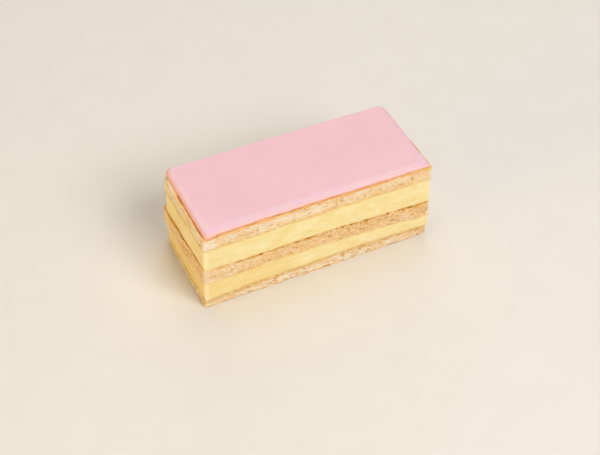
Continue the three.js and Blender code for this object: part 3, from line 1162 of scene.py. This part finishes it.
def custard_layer(name, number, seed, shade_at_left, depth_along=0.0, scorched_and_shade=((), ())):
    """
    A custard layer that reaches a little into the pastry above and below it. Its side swells by
    1 - (2t - 1)^2 of its height t, and lumps, drag lines and burst bubbles are noise on top.
    shade_at_left is how much deeper its yellow is painted at the left end, as shade, depth_along
    how much deeper it is along the left part of the long sides, and scorched lists the dark spots
    under it, partly toast and partly painted shade in the seam, which darken its lower rim.
    """
    x, y, z, low, high = smooth_wall(
        number, CUSTARD_SPACING, CUSTARD_INSET, CUSTARD_WALL_ROWS, CUSTARD_OVERLAP
    )
    rise = np.linspace(0, 1, CUSTARD_WALL_ROWS)[:, None]
    swell = CUSTARD_SWELL * (1 - (2 * rise - 1) ** 2)
    drag = DRAG_DEPTH * patches(x, y, z, 14, 0.7, seed)
    lump = LUMP_DEPTH * rough(x, y, z, 6.0, seed + 1)
    bubble = ramp(patches(x, y, z, 1.4, 1.2, seed + 5), 0.78, 0.95)
    over = z - z[0] - CUSTARD_OVERLAP
    to_rim = np.minimum(over, z[-1] - z - CUSTARD_OVERLAP)
    rounding = ROUNDED_RIM * ramp(to_rim, 0.7, -0.1) ** 2
    wall = pushed_out(x, y, z, swell + drag + lump - BUBBLE_DEPTH * bubble - rounding)
    # Hollows of the lumps and burst bubbles are painted deeper yellow, as shade.
    hollow_shade = np.clip(0.5 - 3.0 * lump + 0.8 * bubble, 0, 1)
    # The same spots darken the lower rim, partly as shade painted in the seam.
    scorch = marks(x, y, over, rim_spots(CUSTARD_SCORCH_AND_SHADE, *scorched_and_shade))
    band = ramp(x, -10.0, -25.0) * (1 - 0.4 * ramp(x, -38.0, -48.0))
    # Deeper yellow at the left end is painted shade; along the long sides it is the custard's own
    # tone.
    deep_tone_and_shade = np.maximum(shade_at_left * ramp(x - LEFT, LEFT_SHADE_REACH, 0.0), depth_along * band)
    # A paler strip along the front corners is a painted highlight.
    corner = front_corner_highlight(x, y)

    def hidden(x, y):
        """Stored numbers where the pastry covers the custard."""
        return 0.0, 0.5, 0.0, corner, deep_tone_and_shade

    skin = Skin("to_rim", "hollow_shade", "scorch", "corner", "deep_tone_and_shade")
    skin.face(wall[0], RIM_ROWS, low, hidden)
    skin.turn_over()
    for points, *values in zip(wall, to_rim, hollow_shade, scorch):
        skin.add(points, (*values, corner, deep_tone_and_shade))
    skin.face(wall[-1], RIM_ROWS, high, hidden)
    return skin.close(name)


print("a custard wall has", CUSTARD_WALL_ROWS, "rows, with points", CUSTARD_SPACING, "mm apart")

# %% [markdown]
# Light sinks a little way into custard before it comes out again, so the shader has some
# subsurface. One flat yellow would look like plastic: three noises mottle it, and the stored
# numbers deepen it next to the pastry and along part of the long sides, paint shade into its
# hollows and at the left end, and paint a highlight along the front corners. Noise has no seams,
# which a picture wrapped round four sides would have.

# %% Custard finish
RIM_STAIN = 0.9
CURD_BUMP = 0.00016


def set_custard():
    """Pale yellow, mottled, deeper close to the pastry, with painted shade in hollows and at the
    left end, a painted highlight along the front corners, and a moist sheen.
    """
    finish = Finish("set_custard")
    cloud = finish.grain(13.0, 5.0, detail=3.0) - 0.5
    curd = finish.grain(2.2, 1.4, detail=3.0) - 0.5
    streak = finish.grain(16.0, 1.1) - 0.5
    # The last term paints shade into the hollows.
    shade = cloud * 1.7 + curd * 1.3 + streak * 0.4 + (finish.stored("hollow_shade") - 0.5) * 0.6
    stain = (finish.stored("to_rim") + cloud * 4.0 + curd * 1.6).fade(RIM_STAIN, 0.0)
    ochre = finish.mix(finish.grain(6.0, 6.0).fade(0.4, 0.6), (232, 200, 118), (242, 194, 118))
    colour = finish.layered(
        (244, 230, 181),
        ((shade + 0.5).clamp(), (238, 214, 142)),
        (stain * 0.6, ochre),
        # dark spots at the lower rim, partly painted shade in the seam
        (finish.stored("scorch") * 0.7, (196, 142, 50)),
        # deeper yellow: painted shade at the left end, own tone along the long sides
        (finish.stored("deep_tone_and_shade"), (236, 200, 114)),
        # painted highlight along the front corners
        (finish.stored("corner") * 0.45, (250, 240, 208)),
    )
    return finish.surface(
        base_color=colour,
        roughness=0.42,
        normal=finish.bump(curd, CURD_BUMP, finish.bump(streak, CURD_BUMP)),
        subsurface_weight=0.25,
        subsurface_radius=(1.0, 0.7, 0.35),
        subsurface_scale=0.0015,
    )


custard = set_custard()
lower_custard = custard_layer("lower_custard_layer", 1, 301, 0.5, 0.42)
stand_in_for(lower_custard, "lower_custard", custard)
spots_with_seam_shade = (MIDDLE_LINE_TOAST_AND_SHADE, LEFT_LINE_TOAST_AND_SHADE)
upper_custard = custard_layer("upper_custard_layer", 3, 311, 0.12, scorched_and_shade=spots_with_seam_shade)
stand_in_for(upper_custard, "upper_custard", custard)

# %% [markdown]
# ## Icing
#
# The icing was poured and set to a satin skin. Its top is level, and its edge rolls over in a
# quarter of a superellipse, which is steeper at the foot and flatter on top than a circle. Every
# row is laid out on its own inset, so the corners stay clean. The foot follows the pastry
# unevenly, and is browned by the syrup that it sits in and by painted contact shadow.

# %% Icing layer
ICING_ROLL = 3.0
ROLL_SHARPNESS = 2.8
ROLL_ROWS = 20
ICING_SINK = 0.15
ICING_SPACING = 0.5
ICING_WANDER = 0.22
ICING_DEPTHS = (0.4, 0.9, 1.5, 2.2, 3.0, 4.0, 6.0)
ICING_FRACTIONS = (0.25, 0.5, 0.75, 1.0)
# The paler band round the top of the icing is a painted highlight where its edge turns.
HIGHLIGHT_WIDTH = 4.4  # width of the paler band round the top, in millimetres
HIGHLIGHT_NARROWING = 0.022  # how much narrower that band gets per millimetre towards the right end
HIGHLIGHT_ELSEWHERE = 0.55  # share of that width along the ends and the back
BLUSH_AT_CORNER = 0.2  # how much higher the salmon colour reaches at the back left corner
BLUSH_AT_FRONT = 0.2  # how much lower it reaches at the front corners
BLUSH_FADING = 0.22  # how much lower it reaches at the right end
icing_top = fitted_surface("icing", 1)


def icing_layer(name):
    """
    Poured icing. At the turn a from 0 to 90 degrees its edge is inset by the roll times
    1 - cos(a)^(2/n), and has risen by sin(a)^(2/n) of its height, with n the sharpness.
    """
    along, across = square_outline(ICING_SPACING)

    def ring(inset):
        x, y = plan("icing", along, across, inset)
        out_x, out_y = outward(x, y)
        wander = ICING_WANDER * waves(x, y, 11, 401)
        wander = wander + 0.17 * rough(x, y, 0.5, 3.4, 402, octaves=2) + icing_pool(x, y)
        wander = wander * ramp(inset, ICING_ROLL, 0.0)
        return x + out_x * wander, y + out_y * wander

    def foot(x, y):
        return levels[-1](x, y) - ICING_SINK

    def top(x, y):
        return icing_top(x, y) + 0.03 * waves(x, y, 14, 403)

    skin = Skin("rise", "inset", "syrup_and_shadow", "blush")

    def add(x, y, z, rise, inset):
        golden = golden_share(x, y)
        share = HIGHLIGHT_ELSEWHERE + (1 - HIGHLIGHT_ELSEWHERE) * ramp(y, -13.0, -20.0)
        # band says where the painted highlight lies round the rim; it is stored as inset.
        band = inset / (share * (HIGHLIGHT_WIDTH - HIGHLIGHT_NARROWING * x))
        blush = BLUSH_AT_CORNER * (1 - golden) * ramp(inset, 4.5, 2.5)
        # The salmon reaches lower at the front corners, where a highlight is painted.
        blush = blush - BLUSH_AT_FRONT * front_corner_highlight(x + 1.5, y - 1.5)
        blush = blush - BLUSH_FADING * (x - LEFT) / length
        # The golden share also sets how strongly the foot is browned by syrup and painted contact
        # shadow.
        skin.add(np.stack([x, y, z], axis=-1), (rise, band, golden, blush))

    for x, y in reversed(towards_middle(*ring(0.0), RIM_ROWS, INNER_ROWS)):
        add(x, y, foot(x, y), 0.0, 0.0)
    for turn in np.linspace(0, math.pi / 2, ROLL_ROWS):
        inset = ICING_ROLL * (1 - max(0.0, math.cos(turn)) ** (2 / ROLL_SHARPNESS))
        rise = math.sin(turn) ** (2 / ROLL_SHARPNESS)
        x, y = ring(inset)
        add(x, y, foot(x, y) + (top(x, y) - foot(x, y)) * rise, rise, inset)
    insets = [ICING_ROLL + depth for depth in ICING_DEPTHS] + [width / 2] * len(ICING_FRACTIONS)
    for inset, (x, y) in zip(insets, towards_middle(x, y, ICING_DEPTHS, ICING_FRACTIONS)):
        add(x, y, top(x, y), 1.0, inset)
    return skin.close(name)


# %% [markdown]
# The icing is one even pink, and only its edge changes: paler where it turns, which is a painted
# highlight, salmon where the pastry shines through, and brown at the foot, partly syrup and
# partly painted contact shadow. The stored rise and inset say how far round the roll a point is,
# so the colours follow the edge round every corner.

# %% Icing finish
SATIN_BUMP = 0.00006


def satin_icing():
    """Even pink, with a painted highlight round its rim, salmon low on its edge, and brown at its
    foot, partly syrup and partly painted contact shadow.
    """
    finish = Finish("satin_icing")
    rise = finish.stored("rise")
    cloud = finish.grain(20.0, 20.0)
    smear = finish.grain(3.0, 1.0)
    wave = finish.grain(7.0, 7.0)
    # The stored inset and a wave give the mask of the painted highlight round the rim.
    rim = finish.stored("inset") + (wave - 0.5) * 1.1
    painted_highlight = finish.mix(wave.fade(0.38, 0.62), (239, 197, 215), (239, 206, 208))
    side = rise + (smear - 0.5) * 0.3 + (wave - 0.5) * 0.4
    colour = finish.layered(
        (238, 193, 204),
        (cloud.fade(0.3, 0.7), (236, 190, 201)),
        # painted highlight along the turn of the edge
        (rim.fade(1.25, 0.6) * 0.9, painted_highlight),
        (rise.fade(1.0, 0.84), (234, 190, 198)),
        ((side - finish.stored("blush")).fade(0.94, 0.46), (233, 177, 158)),
        # brown at the foot, partly syrup and partly painted contact shadow
        (side.fade(0.3, 0.08) * finish.stored("syrup_and_shadow"), (225, 165, 106)),
    )
    return finish.surface(
        base_color=colour,
        roughness=0.36,
        normal=finish.bump(finish.grain(4.0, 4.0), SATIN_BUMP),
        subsurface_weight=0.15,
        subsurface_radius=(1.0, 0.6, 0.6),
        subsurface_scale=0.001,
    )


icing = icing_layer("poured_icing")
stand_in_for(icing, "icing", satin_icing())

# %% [markdown]
# ## Loose leaves and crumbs
#
# Knife and fork leave torn leaves standing off the cut sides, and crumbs that cling to them.
# They are too thin or too undercut for the wall of a sheet, so they are small closed meshes of
# their own. Each kind is one shape with a few dozen faces, repeated with other sizes and turns,
# and joined into one piece. Particles could scatter them, but an exported model drops particles.

# %% A ball, a leaf and a crumb


def coarse_ball(heights, sides):
    """
    A closed ball of radius 1: rings of (cos a, sin a) times sqrt(1 - h^2) at the heights h, and
    a pole at -1 and at 1. Returns its points and its faces, which point outwards.
    """
    h = np.array(heights)[:, None]
    a = 2 * math.pi * np.arange(sides) / sides
    half = np.sqrt(1 - h**2)
    rings = np.stack(np.broadcast_arrays(half * np.cos(a), half * np.sin(a), h), axis=-1)
    points = np.concatenate([[(0, 0, -1)], rings.reshape(-1, 3), [(0, 0, 1)]])
    index = 1 + np.arange(h.size * sides).reshape(h.size, sides)
    ahead = np.roll(index, -1, 1)
    quads = np.stack([index[:-1], ahead[:-1], ahead[1:], index[1:]], axis=-1).reshape(-1, 4)
    below = [(0, b, a) for a, b in zip(index[0].tolist(), ahead[0].tolist())]
    above = [(len(points) - 1, a, b) for a, b in zip(index[-1].tolist(), ahead[-1].tolist())]
    return points, quads.tolist() + below + above


ball_points, leaf_faces = coarse_ball((-0.8, -0.4, 0.0, 0.4, 0.8), 6)
leaf_points = ball_points[:, (2, 0, 1)] * (0.5, 1, 1)  # it lies along x, and is 1 long
crumb_points, crumb_faces = coarse_ball((-0.6, 0.0, 0.6), 8)
print("a leaf has", len(leaf_faces), "faces and a crumb", len(crumb_faces))

# %% Scatter over the walls of the sheets
TANGENT_STEP = 3  # points to each side that give the direction of the wall
LAST_ROW = PASTRY_WALL_ROWS - 3
TABLE_GAP = 0.05


def wall_places(random, wall, count, low_row, high_row):
    """Random places on a wall: their points, and the unit vectors along and out of it."""
    rows = random.integers(low_row, high_row, count)
    around = random.integers(0, wall.shape[1], count)
    after = wall[rows, (around + TANGENT_STEP) % wall.shape[1]]
    along = (after - wall[rows, around - TANGENT_STEP]) * (1, 1, 0)
    along = along / np.linalg.norm(along, axis=1)[:, None]
    out = np.stack([along[:, 1], -along[:, 0], np.zeros(count)], axis=-1)
    return wall[rows, around], along, out


def scattered(random, kind, *places):
    """Copies of one kind on several walls, without those that would reach into the table."""
    copies = np.concatenate([kind(random, *place) for place in places])
    kept = copies[copies[..., 2].min(1) > TABLE_GAP]
    print(f"{kind.__name__}: {len(kept)} of {len(copies)} clear the table")
    return kept


# %% Torn leaves
LEAF_LENGTHS = (0.9, 3.0)
LEAF_WIDTHS = (0.25, 0.6)
LEAF_THICKNESSES = (0.05, 0.09)
LEAF_LEANS = (-1.3, 0.9)
LEAF_TWISTS = (-0.35, 0.35)
LEAF_CURL = 0.35


def leaves_on(random, wall, count, low_row, high_row):
    """
    Torn leaves that lie along a wall: each point is the place, plus its length along the wall,
    plus its width in a direction between out and down, plus its thickness square to both.
    """
    here, along, out = wall_places(random, wall, count, low_row, high_row)
    long = random.uniform(*LEAF_LENGTHS, count)[:, None, None]
    wide = random.uniform(*LEAF_WIDTHS, count)[:, None, None]
    thick = random.uniform(*LEAF_THICKNESSES, count)[:, None, None]
    lean = random.uniform(*LEAF_LEANS, count)[:, None]
    twist = random.uniform(*LEAF_TWISTS, count)[:, None]
    up = np.array((0.0, 0.0, 1.0))
    run = along * np.cos(twist) + up * np.sin(twist)
    flat = out * np.cos(lean) + up * np.sin(lean)
    flat = flat - run * (flat * run).sum(1)[:, None]
    flat = flat / np.linalg.norm(flat, axis=1)[:, None]
    face = np.cross(run, flat)
    x, y, z = np.split(leaf_points[None], 3, axis=-1)
    curl = LEAF_CURL * (2 * x) ** 2 * random.uniform(-1, 1, count)[:, None, None]
    bent = z * thick + curl * wide
    return here[:, None] + run[:, None] * x * long + flat[:, None] * y * wide + face[:, None] * bent


random = np.random.default_rng(501)
leaves = scattered(
    random,
    leaves_on,
    (bottom_wall, 150, 4, 40),
    (middle_wall, 110, 3, LAST_ROW),
    (top_wall, 110, 3, LAST_ROW),
)

# %% Crumbs
CRUMB_SIZES = (0.16, 0.42)
CRUMB_STRETCHES = (0.6, 1.3)
CRUMB_DENTS = (-0.22, 0.22)


def crumbs_on(random, wall, count, low_row, high_row):
    """Lumps half sunk in a wall, each with its own three half sizes and a few dents."""
    here, along, out = wall_places(random, wall, count, low_row, high_row)
    stretch = random.uniform(*CRUMB_SIZES, (count, 1, 1))
    size = stretch * random.uniform(*CRUMB_STRETCHES, (count, 1, 3))
    dents = 1 + random.uniform(*CRUMB_DENTS, (count, len(crumb_points), 1))
    lump = crumb_points[None] * size * dents
    turned = out[:, None] * lump[..., 0:1] + along[:, None] * lump[..., 1:2]
    turned[..., 2] += lump[..., 2]
    return here[:, None] + turned


crumbs = scattered(
    random,
    crumbs_on,
    (bottom_wall, 260, 5, 36),
    (middle_wall, 300, 3, LAST_ROW),
    (top_wall, 260, 3, LAST_ROW),
)

# %% Finish and join leaves and crumbs
LEAF_BUMP = 0.0001


def thin_leaf():
    """Pale to tan from one leaf or crumb to the next, with a faint speckle."""
    finish = Finish("thin_leaf")
    fleck = finish.grain(0.8, 0.4) - 0.5
    tone = (finish.stored("tone") + fleck * 0.8).clamp()
    colour = finish.mix(tone, (252, 232, 198), (226, 176, 116))
    return finish.surface(base_color=colour, roughness=0.65, normal=finish.bump(fleck, LEAF_BUMP))


def joined(name, shapes, faces, tones, material):
    """One piece from copies of a shape: shapes is an array of copy, point and coordinate."""
    copies, count = shapes.shape[:2]
    all_faces = [[i + copy * count for i in face] for copy in range(copies) for face in faces]
    tones = {"tone": np.repeat(tones, count)}
    piece = new_piece(name, shapes.reshape(-1, 3), all_faces, tones)
    ride(piece, material)
    print(f"{name}: {copies} copies, {len(all_faces)} faces")


leaf_finish = thin_leaf()
joined("torn_leaves", leaves, leaf_faces, random.beta(1.5, 2.2, len(leaves)), leaf_finish)
joined("clinging_crumbs", crumbs, crumb_faces, random.beta(2.0, 2.0, len(crumbs)), leaf_finish)
